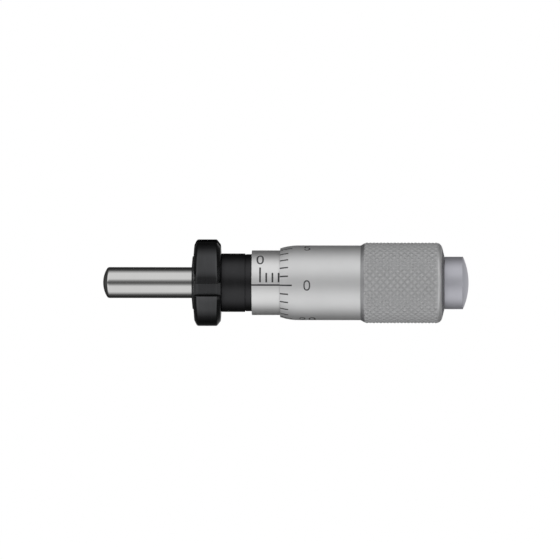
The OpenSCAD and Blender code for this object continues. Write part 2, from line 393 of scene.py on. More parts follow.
class Shader(Nodes):
    """Node tree of one material, with a Principled shader to build on."""

    MIX_SHARE, MIX_FIRST, MIX_SECOND, MIX_RESULT = 0, 6, 7, 2

    def __init__(self, name: str) -> None:
        """Makes an empty material with its shader and output.

        Args:
            name: Name of the material.
        """
        self.material = bpy.data.materials.new(name)
        self.material.use_nodes = True
        super().__init__(self.material.node_tree)
        self.tree.nodes.clear()
        self.surface = self.add("ShaderNodeBsdfPrincipled")
        self.output = self.add("ShaderNodeOutputMaterial")
        self.link(self.surface.outputs["BSDF"], self.output.inputs["Surface"])

    def place(self) -> Socket:
        """Object coordinates of the surface."""
        return self.add("ShaderNodeTexCoord").outputs["Object"]

    def noise(self, scale: Sequence[float], detail: float) -> Socket:
        """Noise on object coordinates.

        Args:
            scale: Repeats per millimetre along x, y and z.
            detail: Octaves of the noise.

        Returns:
            The noise value, about 0.5 on average.
        """
        mapping = self.add("ShaderNodeMapping")
        mapping.inputs["Scale"].default_value = [part / MM for part in scale]
        texture = self.add("ShaderNodeTexNoise")
        texture.inputs["Scale"].default_value = 1.0
        texture.inputs["Detail"].default_value = detail
        self.link(self.place(), mapping.inputs["Vector"])
        self.link(mapping.outputs["Vector"], texture.inputs["Vector"])
        return texture.outputs["Fac"]

    def ramp(self, value: Socket, low: float, high: float) -> Socket:
        """Maps a noise value's usual span to the span from low to high."""
        return self.span(value, NOISE_SPAN, (low, high))

    def levels(self, share: Socket, stops: Sequence[Pair], length: float) -> Socket:
        """Brightness as a soft ramp.

        Args:
            share: Place on the ramp, 0 to 1.
            stops: Places and brightness levels.
            length: Place that stands for the ramp's end.

        Returns:
            The brightness.
        """
        node = self.add("ShaderNodeValToRGB")
        ramp = node.color_ramp
        ramp.interpolation = "EASE"
        while len(ramp.elements) < len(stops):
            ramp.elements.new(0.5)
        for element, (place, value) in zip(ramp.elements, stops):
            element.position = place / length
            element.color = (value, value, value, 1)
        self.link(share, node.inputs["Fac"])
        return node.outputs["Color"]

    def mark(self, mark: Mark) -> Socket:
        """Value of a point attribute of the piece, 0 where the piece has none."""
        return self.add("ShaderNodeAttribute", attribute_name=mark.value).outputs["Fac"]

    def mix(self, share: Socket, first: Socket | Colour, second: Socket | Colour) -> Socket:
        """Mixes two colours by a share that is 0 for the first one.

        Args:
            share: Share of the second colour.
            first: Colour socket, or linear red, green and blue.
            second: Colour socket, or linear red, green and blue.

        Returns:
            The mixed colour.
        """
        node = self.add("ShaderNodeMix", data_type="RGBA", clamp_factor=True)
        self.link(share, node.inputs[self.MIX_SHARE])
        for colour, number in ((first, self.MIX_FIRST), (second, self.MIX_SECOND)):
            self.put(colour if isinstance(colour, Socket) else (*colour, 1.0), node.inputs[number])
        return node.outputs[self.MIX_RESULT]

    def bump(self, height: Socket, strength: float, depth: float) -> None:
        """Sets the shader's normal from a height.

        Args:
            height: Height value, 0 to 1.
            strength: Share of the bump.
            depth: Height of the bump, in mm.
        """
        node = self.add("ShaderNodeBump")
        node.inputs["Strength"].default_value = strength
        node.inputs["Distance"].default_value = depth * MM
        self.link(height, node.inputs["Height"])
        self.link(node.outputs["Normal"], self.surface.inputs["Normal"])


@dataclass(frozen=True)
class MetalFinish:
    """Finish of a turned metal: tool lines round the axis, grain, mottling, worn edges and painted shade in
    grooves.
    """

    name: str
    colour: Colour
    worn_colour: Colour
    roughness: float
    roughness_spread: float = 0.03
    mottling: float = 0.03
    tool_lines: float = 9.0
    tool_line_depth: float = 0.0005
    tool_line_stretch: float = 0.25
    tool_line_share: float = 0.3
    wear: float = 0.5
    least_wear: float = 0.4
    cloud_scale: float = 0.45
    grain_scale: float = 22.0
    grain_share: float = 0.15
    groove_shade: float = 1.0
    edge_tint: float = 0.0

    def material(self) -> Material:
        """Builds the node material.

        Returns:
            The material, which reads object coordinates and the piece's marks.
        """
        shader = Shader(self.name)
        surface = shader.surface
        surface.inputs["Metallic"].default_value = 1.0
        surface.inputs["Specular Tint"].default_value = (self.edge_tint, self.edge_tint, self.edge_tint, 1)
        lines = shader.noise((self.tool_lines, self.tool_line_stretch, self.tool_line_stretch), detail=3.0)
        clouds = shader.noise([self.cloud_scale] * 3, detail=4.0)
        grain = shader.noise([self.grain_scale] * 3, detail=2.0)
        dark = [part * (1 - self.mottling) for part in self.colour]
        light = [min(part * (1 + self.mottling), 1.0) for part in self.colour]
        cloud_tone = shader.ramp(clouds, 0.0, 1 - self.tool_line_share)
        tone = shader.math("ADD", cloud_tone, shader.ramp(lines, 0.0, self.tool_line_share))
        colour = shader.mix(tone, dark, light)
        patches = shader.ramp(clouds, self.wear * self.least_wear, self.wear)
        worn = shader.math("MULTIPLY", shader.mark(Mark.WEAR), patches)
        colour = shader.mix(worn, colour, self.worn_colour)
        # Painted shade: the colour darkens by the groove mark, as shade in the knurl's grooves.
        shaded = [part * self.groove_shade for part in self.colour]
        colour = shader.mix(shader.mark(Mark.GROOVE), colour, shaded)
        shader.link(colour, surface.inputs["Base Color"])
        low, high = self.roughness - self.roughness_spread, self.roughness + self.roughness_spread
        average = shader.math("MULTIPLY", shader.math("ADD", grain, lines), 0.5)
        shader.link(shader.ramp(average, low, high), surface.inputs["Roughness"])
        height = shader.math("ADD", lines, shader.math("MULTIPLY", grain, self.grain_share))
        shader.bump(height, 1.0, self.tool_line_depth)
        return shader.material


@dataclass(frozen=True)
class InkFinish:
    """Finish of the black fill in engraved lines and numerals: matt paint that is a little thin in places."""

    name: str
    colour: Colour
    roughness: float
    roughness_spread: float = 0.08
    fading: float = 2.2
    grain_scale: float = 9.0
    grain_bump: Pair = (0.6, 0.004)

    def material(self) -> Material:
        """Builds the node material.

        Returns:
            The material, which reads object coordinates.
        """
        shader = Shader(self.name)
        grain = shader.noise([self.grain_scale] * 3, detail=3.0)
        faded = [part * self.fading for part in self.colour]
        colour = shader.mix(shader.ramp(grain, 0.0, 1.0), self.colour, faded)
        shader.link(colour, shader.surface.inputs["Base Color"])
        low, high = self.roughness - self.roughness_spread, self.roughness + self.roughness_spread
        shader.link(shader.ramp(grain, low, high), shader.surface.inputs["Roughness"])
        shader.bump(grain, *self.grain_bump)
        return shader.material


@dataclass(frozen=True)
class Finishes:
    """Every finish of the head, made once and shared by its pieces."""

    oxide: Material
    nut_oxide: Material
    chrome: Material
    grip: Material
    end_face: Material
    sleeve_chrome: Material
    ground: Material
    turned: Material
    ink: Material

    @classmethod
    def make(cls) -> "Finishes":
        """Builds the materials.

        Returns:
            The finishes by the name of their surface.
        """
        oxide = MetalFinish(
            "black_oxide_stem",
            colour=(0.041, 0.041, 0.043),
            worn_colour=(0.11, 0.11, 0.115),
            roughness=0.40,
            roughness_spread=0.04,
            mottling=0.12,
            tool_lines=7.0,
            tool_line_depth=0.0010,
            wear=0.20,
            edge_tint=0.45,
        )
        nut_oxide = MetalFinish(
            "black_oxide_nut",
            colour=(0.056, 0.057, 0.059),
            worn_colour=(0.14, 0.14, 0.145),
            roughness=0.24,
            roughness_spread=0.04,
            mottling=0.14,
            tool_lines=6.0,
            tool_line_depth=0.0010,
            wear=0.22,
            edge_tint=0.7,
        )
        chrome = MetalFinish(
            "satin_chrome_barrel",
            colour=(0.735, 0.737, 0.74),
            worn_colour=(0.80, 0.80, 0.80),
            roughness=0.56,
        )
        # Painted shade: the grip's chrome is darker than the barrel's, standing in for the knurl's shade.
        grip = MetalFinish(
            "satin_chrome_grip",
            colour=(0.59, 0.592, 0.597),
            worn_colour=(0.66, 0.66, 0.66),
            roughness=0.71,
            groove_shade=0.88,
            edge_tint=1.0,
        )
        # Painted shade: a darker copy of the chrome for the grip's front bevel and end face.
        end_face = MetalFinish(
            "grip_ends_painted_shade",
            colour=(0.41, 0.41, 0.42),
            worn_colour=(0.50, 0.50, 0.52),
            roughness=0.56,
            roughness_spread=0.04,
            mottling=0.05,
            tool_lines=12.0,
            tool_line_depth=0.0010,
            wear=0.4,
        )
        sleeve_chrome = MetalFinish(
            "satin_chrome_sleeve",
            colour=(0.79, 0.79, 0.79),
            worn_colour=(0.83, 0.83, 0.83),
            roughness=0.50,
            tool_line_depth=0.0004,
        )
        ground = MetalFinish(
            "ground_spindle",
            colour=(0.58, 0.578, 0.572),
            worn_colour=(0.68, 0.68, 0.68),
            roughness=0.12,
            mottling=0.025,
            tool_lines=12.0,
            tool_line_depth=0.0002,
            wear=0.4,
            edge_tint=0.3,
        )
        turned = MetalFinish(
            "turned_cap",
            colour=(0.58, 0.58, 0.627),
            worn_colour=(0.68, 0.68, 0.71),
            roughness=0.60,
            roughness_spread=0.04,
            mottling=0.04,
            tool_lines=10.0,
            tool_line_depth=0.0008,
            wear=0.6,
            edge_tint=0.75,
        )
        ink = InkFinish("graduation_black", colour=(0.012, 0.012, 0.013), roughness=0.5)
        made = (oxide, nut_oxide, chrome, grip, end_face, sleeve_chrome, ground, turned, ink)
        return cls(*(finish.material() for finish in made))


def seat(piece: Piece, body: Body, slot: str, finishes: Sequence[Material], *nodes: str) -> None:
    """Gives a piece its materials and its body, and hides the CAD nodes that it stands for.

    Args:
        piece: The new piece.
        body: Body that it rides on.
        slot: Material slot of the record; not used.
        finishes: Materials in the order of the mesh's slots.
        nodes: CAD nodes that the piece replaces.
    """
    for finish in finishes:
        piece.data.materials.append(finish)
    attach(piece, body.value)
    if nodes:
        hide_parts(*nodes)
    log.info("%s rides on %s with %d faces", piece.name, body.value, len(piece.data.polygons))


def front_x(node: str) -> float:
    """Lowest x of a CAD node at rest, in mm."""
    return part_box(node)[0].x / MM


def rear_x(node: str) -> float:
    """Highest x of a CAD node at rest, in mm."""
    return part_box(node)[1].x / MM


# Numerals


class Stroke(Enum):
    """Ways in which a numeral's stroke runs."""

    OPEN = "open"
    RING = "ring"


def arc(centre: Pair, size: Pair, start: float, end: float, count: int = 28) -> Array:
    """Points of an elliptical arc, centre + size * (cos a, sin a) for a from start to end, in degrees."""
    angle = np.radians(np.linspace(start, end, count))
    return np.column_stack([centre[0] + size[0] * np.cos(angle), centre[1] + size[1] * np.sin(angle)])


def round_box(centre: Pair, size: Pair, power: float, count: int = 48) -> Array:
    """Points of a superellipse, centre + size * (cos a, sin a) with both raised to 2 / power, signs kept.

    Args:
        centre: Middle of the shape.
        size: Half its width and height.
        power: 2 for an ellipse, more for a squarer shape.
        count: Points round it.

    Returns:
        Rows of [u, v].
    """
    angle = turns(count)
    wave = np.column_stack([np.cos(angle), np.sin(angle)])
    return np.asarray(centre) + np.asarray(size) * np.sign(wave) * np.abs(wave) ** (2 / power)


def line(*points: Pair, steps: int = 10) -> Array:
    """Points of a straight stroke.

    Args:
        points: Corners of the stroke.
        steps: Steps to each span.

    Returns:
        Rows of [u, v].
    """
    corners = np.asarray(points, float)
    spans = np.arange(len(corners))
    places = np.linspace(0, len(corners) - 1, steps * (len(corners) - 1) + 1)
    return np.column_stack([np.interp(places, spans, column) for column in corners.T])


class Numerals:
    """Engraved numerals as black ribbons wrapped on a cylinder.

    A numeral is a few strokes in a box one unit wide, centred on 0, and one unit tall, from 0 to 1.
    """

    SHAPES: dict[str, list[tuple[Stroke, Array]]] = {
        "0": [(Stroke.RING, round_box((0.0, 0.5), (0.42, 0.44), 2.4))],
        "1": [
            (Stroke.OPEN, line((0.06, 0.06), (0.06, 0.94))),
            (Stroke.OPEN, line((0.06, 0.94), (-0.22, 0.74))),
        ],
        "2": [
            (
                Stroke.OPEN,
                np.vstack([arc((0.0, 0.67), (0.38, 0.27), 170, -30), line((0.30, 0.50), (-0.38, 0.06))]),
            ),
            (Stroke.OPEN, line((-0.38, 0.06), (0.42, 0.06))),
        ],
        "5": [
            (Stroke.OPEN, line((0.36, 0.94), (-0.28, 0.94))),
            (Stroke.OPEN, line((-0.28, 0.94), (-0.34, 0.53))),
            (Stroke.OPEN, arc((-0.02, 0.32), (0.41, 0.27), 130, -145)),
        ],
    }
    SPACING = 1.5
    PROUD = 0.003
    SUNK = 0.02
    STROKE_STEP = 0.0004
    END_POINTS = 6

    def __init__(self, radius: float, width: float, height: float, weight: float) -> None:
        """Sets the cylinder and the size of the numerals.

        Args:
            radius: Radius of the cylinder, in mm.
            width: Width of one numeral, in mm.
            height: Height of a numeral along the arc, in mm.
            weight: Width of the strokes, in mm.
        """
        self.radius = radius
        self.width = width
        self.height = height
        self.weight = weight
        self.points: list[Array] = []
        self.faces: list[Array] = []

    def ribbon(self, path: Array, kind: Stroke) -> tuple[Array, Array]:
        """Centre line and half widths of a stroke, with round ends on an open one.

        The ends run on by half the weight w: the place by w sin(q) and the half width as w cos(q), for q up
        to a right angle.

        Args:
            path: Centre line, in mm.
            kind: Whether the stroke is open or a ring.

        Returns:
            Rows of the centre line, and of half the width across it.
        """
        half = self.weight / 2
        if kind is Stroke.RING:
            along = np.roll(path, -1, axis=0) - np.roll(path, 1, axis=0)
            reach = np.full(len(path), half)
        else:
            q = np.linspace(math.pi / 2, 0, self.END_POINTS)[:-1]
            first, last = path[0] - path[1], path[-1] - path[-2]
            head = path[0] + first / np.linalg.norm(first) * half * np.sin(q)[:, None]
            tail = path[-1] + last / np.linalg.norm(last) * half * np.sin(q[::-1])[:, None]
            reach = np.r_[half * np.cos(q), np.full(len(path), half), half * np.cos(q[::-1])]
            path = np.vstack([head, path, tail])
            along = np.gradient(path, axis=0)
        along = along / np.linalg.norm(along, axis=1)[:, None]
        return path, np.column_stack([-along[:, 1], along[:, 0]]) * reach[:, None]

    def add(self, text: str, x: float, turn: float) -> None:
        """Adds a number centred at a place on the cylinder.

        Each stroke is a box section carried along its path: two edges just above the surface and two below
        it. A second stroke lies a touch above the first, so that no two faces share a place.

        Args:
            text: Digits of the number.
            x: Middle of the number along the axis, in mm.
            turn: Middle of the number round the axis, in radians.
        """
        step = self.width * self.SPACING
        first = -(len(text) - 1) * step / 2
        for place, digit in enumerate(text):
            for order, (kind, shape) in enumerate(self.SHAPES[digit]):
                flat = (shape - (0.0, 0.5)) * (self.width, self.height) + (first + place * step, 0.0)
                path, across = self.ribbon(flat, kind)
                edges = np.stack([path - across, path + across, path + across, path - across], axis=1)
                top = self.radius + self.PROUD + self.STROKE_STEP * order
                floor = self.radius - self.SUNK
                self.keep(edges, np.array([top, top, floor, floor]), x, turn, kind)

    def keep(self, edges: Array, heights: Array, x: float, turn: float, kind: Stroke) -> None:
        """Wraps the four edges of a stroke and keeps its points and faces.

        A flat place (u, v) wraps to x + u, turn + v / radius.

        Args:
            edges: Flat places along the four edges, in order round the section.
            heights: Radius of each edge, in mm.
            x: Middle of the number along the axis, in mm.
            turn: Middle of the number round the axis, in radians.
            kind: Whether the stroke is open or a ring.
        """
        along, angle = x + edges[..., 0], turn + edges[..., 1] / self.radius
        base = sum(len(part) for part in self.points)
        index = np.arange(along.size).reshape(along.shape) + base
        self.points.append(round_axis(along, np.broadcast_to(heights, along.shape), angle))
        self.faces.append(grid_faces(index, rows_join=kind is Stroke.RING, columns_join=True))

    def piece(self, name: str) -> Piece:
        """Makes one mesh object of every number that was added."""
        return make_piece(name, np.vstack(self.points), np.vstack(self.faces))


# Sub-assemblies, with every size in mm


@dataclass
class Spindle:
    """Ground spindle with its round tip, the feed thread and the taper that carries the thimble."""

    radius: float = 1.5875
    tip_radius: float = 2.85
    tip_edge: float = 0.38
    tip_round: float = 0.34
    tip_points: int = 14
    thread_start: float = 5.475
    thread_end: float = 16.9
    thread_crest: float = 1.9975
    thread_root: float = 1.62
    thread_edge: float = 0.03
    pitch: float = 0.635
    taper: Pair = (1.8475, 1.5975)
    taper_edge: float = 0.04
    web_x: float = 17.21
    hole: Pair = (0.8, 3.0)
    drill_slope: float = 0.5
    columns: int = 96

    def tip(self, start: float) -> Array:
        """Profile of the spherical tip.

        A point at an angle a from the axis lies at start + R (1 - cos a), R sin a.

        Args:
            start: Place of the tip's end, in mm.

        Returns:
            Rows of [x, radius, fillet] from the axis outwards.
        """
        limit = math.asin((self.radius - self.tip_edge) / self.tip_radius)
        angle = np.linspace(0, limit, self.tip_points)
        x = start + self.tip_radius * (1 - np.cos(angle))
        return plain_rows(x, self.tip_radius * np.sin(angle))

    def build(self) -> Piece:
        """Builds the closed surface, with the feed thread worked into its own stretch.

        Returns:
            The spindle piece.
        """
        start, end = front_x("spindle"), rear_x("spindle")
        hole_r, hole_l = self.hole
        rise = self.thread_crest - self.radius
        shoulder = start + self.tip_radius - math.sqrt(self.tip_radius**2 - self.radius**2)
        corners = [
            *self.tip(start),
            [shoulder, self.radius, self.tip_round],
            [self.thread_start, self.radius, 0.0],
            [self.thread_start + rise, self.thread_crest, 0.0],
            [self.thread_end, self.thread_crest, self.thread_edge],
            [self.thread_end, self.taper[0], 0.0],
            [self.web_x, self.taper[0], 0.0],
            [end, self.taper[1], self.taper_edge],
        ]
        outer = rounded(corners, steps=9)
        outer = with_rows(outer, np.arange(self.thread_start, self.thread_end, self.pitch / ROWS_PER_PITCH))
        floor = end - hole_l
        inner_x = np.array([end, floor, floor - hole_r * self.drill_slope])
        inner = plain_rows(inner_x, np.array([hole_r, hole_r, 0.0]))
        skin = Skin.lathe(np.vstack([outer, inner]), turns(self.columns))
        cut = thread_radius(skin.x, skin.turn, self.pitch, self.thread_root, self.thread_crest)
        threaded = (skin.x > self.thread_start) & (skin.x < self.thread_end) & (skin.radius > hole_r)
        cut = np.minimum(skin.radius, np.maximum(cut, self.radius))
        skin.radius = np.where(threaded, cut, skin.radius)
        return skin.piece("spindle_bar", closed=False)

    def dress(self, finishes: Finishes) -> None:
        """Builds the spindle and seats it on the thimble's body."""
        seat(self.build(), Body.THIMBLE, "ground_steel", [finishes.ground], "spindle")


@dataclass
class NoseThread:
    """Fine thread between the stem's nose and the clamp nut."""

    pitch: float = 0.5
    root: float = 2.70
    crest: float = 2.97
    clearance: float = 0.045

    def outside(self, x: Array, turn: Array) -> Array:
        """Radius of the nose's own thread."""
        return thread_radius(x, turn, self.pitch, self.root, self.crest)

    def inside(self, x: Array, turn: Array) -> Array:
        """Radius of the nut's thread, which clears the nose's by the same amount all along."""
        return self.outside(x, turn) + self.clearance


@dataclass
class Stem:
    """Black stem with the threaded nose, the ground fit, the relief and the split rear end."""

    thread: NoseThread
    ground_r: float = 3.0
    ground_edges: Pair = (0.05, 0.03)
    nose_set: float = 0.02
    nose_slope: float = 0.09
    nose_end: float = -3.11
    below_root: float = 0.02
    lead_in_l: float = 0.58
    lead_in_slope: float = 0.5
    undercut_l: float = 0.25
    run_out: float = 0.02
    relief: Pair = (2.93, 0.7)
    groove_depth: float = 0.03
    groove_x: tuple[float, float, float] = (0.02, 0.09, 0.14)
    groove_edges: tuple[float, float, float] = (0.01, 0.02, 0.03)
    shoulder: float = 0.05
    seat_r: float = 3.1
    collar: tuple[float, float, float] = (9.02, 9.82, 3.22)
    edge: float = 0.02
    tail: Pair = (2.85, 2.70)
    feed_nut_x: float = 10.555
    slot_x: float = 10.155
    bores: tuple[float, float, float] = (1.6075, 2.0175, 2.17625)
    bore_bevel: float = 0.07
    thread_room_x: float = 2.935
    slots: int = 3
    slot_width: float = 0.4
    columns: int = 128
    finger_columns: int = 40

    def lead_in(self, x: Array, front: float) -> Array:
        """Radius of the cone that takes the thread down to its root at the nose's end."""
        return self.thread.root - self.below_root + self.lead_in_slope * (x - front - self.nose_slope)

    def corners(self, front: float) -> list[list[float]]:
        """Outside of the stem up to the slots.

        Args:
            front: Place of the nose's end, in mm.

        Returns:
            Rows of [x, radius, fillet].
        """
        root, crest = self.thread.root, self.thread.crest
        lead_x, undercut_x = front + self.nose_slope, self.nose_end - self.undercut_l
        relief_r, relief_l = self.relief
        groove_r = relief_r - self.groove_depth
        first, second, third = (-relief_l + place for place in self.groove_x)
        collar_x, collar_end, collar_r = self.collar
        return [
            [front, self.bores[0] + self.bore_bevel, 0.0],
            [lead_x, root - self.below_root, 0.0],
            [lead_x + self.lead_in_l, crest, 0.0],
            [undercut_x - self.run_out, crest, 0.0],
            [undercut_x, root, 0.0],
            [self.nose_end, root, 0.0],
            [self.nose_end, self.ground_r, self.ground_edges[0]],
            [-relief_l, self.ground_r, self.ground_edges[1]],
            [first, groove_r, self.groove_edges[0]],
            [second, groove_r, self.groove_edges[1]],
            [third, relief_r, self.groove_edges[2]],
            [self.shoulder, relief_r, 0.0],
            [self.shoulder, self.seat_r, self.edge],
            [collar_x, self.seat_r, 0.0],
            [collar_x, collar_r, self.edge],
            [collar_end, collar_r, self.edge],
            [collar_end, self.tail[0], 0.0],
            [self.slot_x, self.tail[0], 0.0],
        ]

    def build(self) -> Piece:
        """Builds the stem up to the slots as one closed ring of surface.

        The nose is cut down to the thread or the lead-in cone, whichever is smaller.

        Returns:
            The front piece.
        """
        front = front_x("stem") + self.nose_set
        guide, _, room = self.bores
        rows = np.arange(front, self.nose_end, self.thread.pitch / ROWS_PER_PITCH)
        outer = with_rows(rounded(self.corners(front)), rows)
        room_end = self.thread_room_x - (room - guide)
        inner_x = np.array([self.slot_x, self.thread_room_x, room_end, front + self.bore_bevel])
        inner = plain_rows(inner_x, np.array([room, room, guide, guide]))
        skin = Skin.lathe(np.vstack([outer, inner]), turns(self.columns))
        threaded = skin.x < self.nose_end - self.undercut_l - self.run_out / 2
        cut = np.minimum(self.thread.outside(skin.x, skin.turn), self.lead_in(skin.x, front))
        skin.radius = np.where(threaded, np.minimum(skin.radius, cut), skin.radius)
        return skin.piece("stem_body", closed=True)

    def fingers(self) -> Piece:
        """Builds the split rear end as closed sectors.

        Each finger is the tail's section, a ring of corners, carried from one slot wall to the next. A wall
        lies half the slot width from the plane through the axis, at asin(half width / radius). The end of a
        finger is its section as three quads.

        Returns:
            The fingers as one piece.
        """
        end = rear_x("stem")
        _, bore, room = self.bores
        section = np.array(
            [
                [self.slot_x, self.tail[0]],
                [self.feed_nut_x, self.tail[0]],
                [end, self.tail[1]],
                [end, bore],
                [(end + self.feed_nut_x) / 2, bore],
                [self.feed_nut_x, bore],
                [self.feed_nut_x, room],
                [self.slot_x, room],
            ]
        )
        end_quads = np.array([[0, 1, 6, 7], [1, 2, 3, 4], [1, 4, 5, 6]])
        share = np.linspace(-1, 1, self.finger_columns)
        middles = (np.arange(self.slots) + 0.5) * FULL_TURN / self.slots - math.pi / 2
        reach = math.pi / self.slots - np.arcsin(self.slot_width / 2 / section[:, 1])
        turn = middles[:, None, None] + share[None, :, None] * reach[None, None, :]
        x, radius = (np.broadcast_to(column, turn.shape) for column in section.T)
        index = np.arange(turn.size).reshape(turn.shape)
        walls = grid_faces(index, rows_join=False, columns_join=True, flipped=True)
        first, last = index[:, 0][:, end_quads[:, ::-1]], index[:, -1][:, end_quads]
        faces = np.vstack([walls, first.reshape(-1, 4), last.reshape(-1, 4)])
        return make_piece("stem_fingers", round_axis(x, radius, turn), faces)

    def dress(self, finishes: Finishes) -> None:
        """Builds both pieces of the stem and seats them on its body."""
        seat(self.build(), Body.STEM, "black_oxide", [finishes.oxide], "stem")
        seat(self.fingers(), Body.STEM, "black_oxide", [finishes.oxide])


@dataclass
class ClampNut:
    """Notched ring nut on the stem's thread.

    A rim is given by how far it lies behind its face, its radius, and how far behind the face the full radius
    begins. A slope is the stretch behind its face that gets closer rows, so that the notches cut it cleanly.
    """

    thread: NoseThread
    radius: float = 4.446
    width: float = 2.85
    entry: float = 0.03
    flare: float = 0.2
    land_r: float = 3.2
    land_set: Pair = (0.02, 0.01)
    land_edge: float = 0.06
    front_rim: tuple[float, float, float] = (0.07, 3.86, 0.35)
    rear_rim: tuple[float, float, float] = (0.05, 3.92, 0.45)
    rim_edge: float = 0.25
    front_edge: float = 0.35
    front_slope: Pair = (0.022, 0.064)
    rear_slope: Pair = (0.016, 0.038)
    slope_rows: int = 9
    bore_rows: int = 60
    notches: int = 4
    notch_width: float = 1.33
    notch_depth: float = 0.8
    notch_turn: float = 6.2
    notch_edge: float = 0.035
    notch_wear: float = 0.9
    floor_columns: int = 9
    land_angle: float = 17.0
    land_columns: int = 24

    def profile(self) -> Array:
        """Section of the nut without notches.

        Returns:
            Rows of [x, radius, wear] round the closed section.
        """
        x0 = front_x("clamp_nut")
        x1 = x0 + self.width
        entry_r = self.thread.crest + self.entry
        (front_l, front_r, front_in), (rear_l, rear_r, rear_in) = self.front_rim, self.rear_rim
        corners = [
            [x0, entry_r, 0.0],
            [x0 + self.land_set[0], self.land_r, self.land_edge],
            [x0 + front_l, front_r, self.rim_edge],
            [x0 + front_in, self.radius, self.front_edge],
            [x1 - rear_in, self.radius, self.rim_edge],
            [x1 - rear_l, rear_r, self.rim_edge],
            [x1 - self.land_set[1], self.land_r, self.land_edge],
            [x1, entry_r, 0.0],
        ]
        front_rows = x0 + np.linspace(*self.front_slope, self.slope_rows)
        rear_rows = x1 - np.linspace(*self.rear_slope, self.slope_rows)
        outer = with_rows(rounded(corners, steps=9), np.sort(np.r_[front_rows, rear_rows]))
        bore = np.linspace(x1 - self.flare, x0 + self.flare, self.bore_rows)
        return np.vstack([outer, plain_rows(bore, np.full(self.bore_rows, self.thread.root))])

    def build(self) -> Piece:
        """Builds the nut, with its notches as flat-bottomed cuts.

        Near a notch the columns lie at fixed distances s from its middle plane, so their turn is
        asin(s / radius). Inside it the radius is at most sqrt(floor^2 + s^2), which is a flat floor, and the
        walls stay parallel. The column on each wall's edge is let down a little, which bevels the edge.

        Returns:
            The nut piece.
        """
        profile = self.profile()
        half, bevel = self.notch_width / 2, self.notch_edge
        floor = self.radius - self.notch_depth
        inner = np.linspace(-half, half, self.floor_columns)
        side = np.r_[-half - bevel, -half, inner, half, half + bevel]
        on_floor = np.r_[False, False, np.full(self.floor_columns, True), False, False]
        on_edge = np.r_[False, True, np.full(self.floor_columns, False), True, False]
        plain = profile[:, 1][:, None]
        lowered = np.minimum(plain, np.sqrt(floor**2 + side**2))
        eased = np.where(on_edge, np.maximum(plain - bevel, lowered), plain)
        near_r = np.where(on_floor, lowered, eased)
        next_notch = 360 / self.notches
        land = np.linspace(self.land_angle, next_notch - self.land_angle, self.land_columns)
        far_shape = (len(profile), self.land_columns)
        turn = np.hstack([np.arcsin(side / near_r), np.broadcast_to(np.radians(land), far_shape)])
        radius = np.hstack([near_r, np.broadcast_to(plain, far_shape)])
        worn = np.hstack([~on_floor * self.notch_wear * (plain > floor), np.zeros(far_shape)])
        start = turns(self.notches) - math.radians(self.notch_turn)
        skin = Skin.lathe(profile, np.repeat(start, turn.shape[1]))
        skin.turn = skin.turn + np.tile(turn, self.notches)
        skin.radius = np.tile(radius, self.notches)
        skin.wear = np.maximum(skin.wear, np.tile(worn, self.notches))
        bore = skin.radius < self.thread.crest
        skin.radius = np.where(bore, self.thread.inside(skin.x, skin.turn), skin.radius)
        return skin.piece("clamp_ring", closed=True)

    def dress(self, finishes: Finishes) -> None:
        """Builds the nut and seats it on its body."""
        seat(self.build(), Body.NUT, "black_oxide", [finishes.nut_oxide], "clamp_nut")


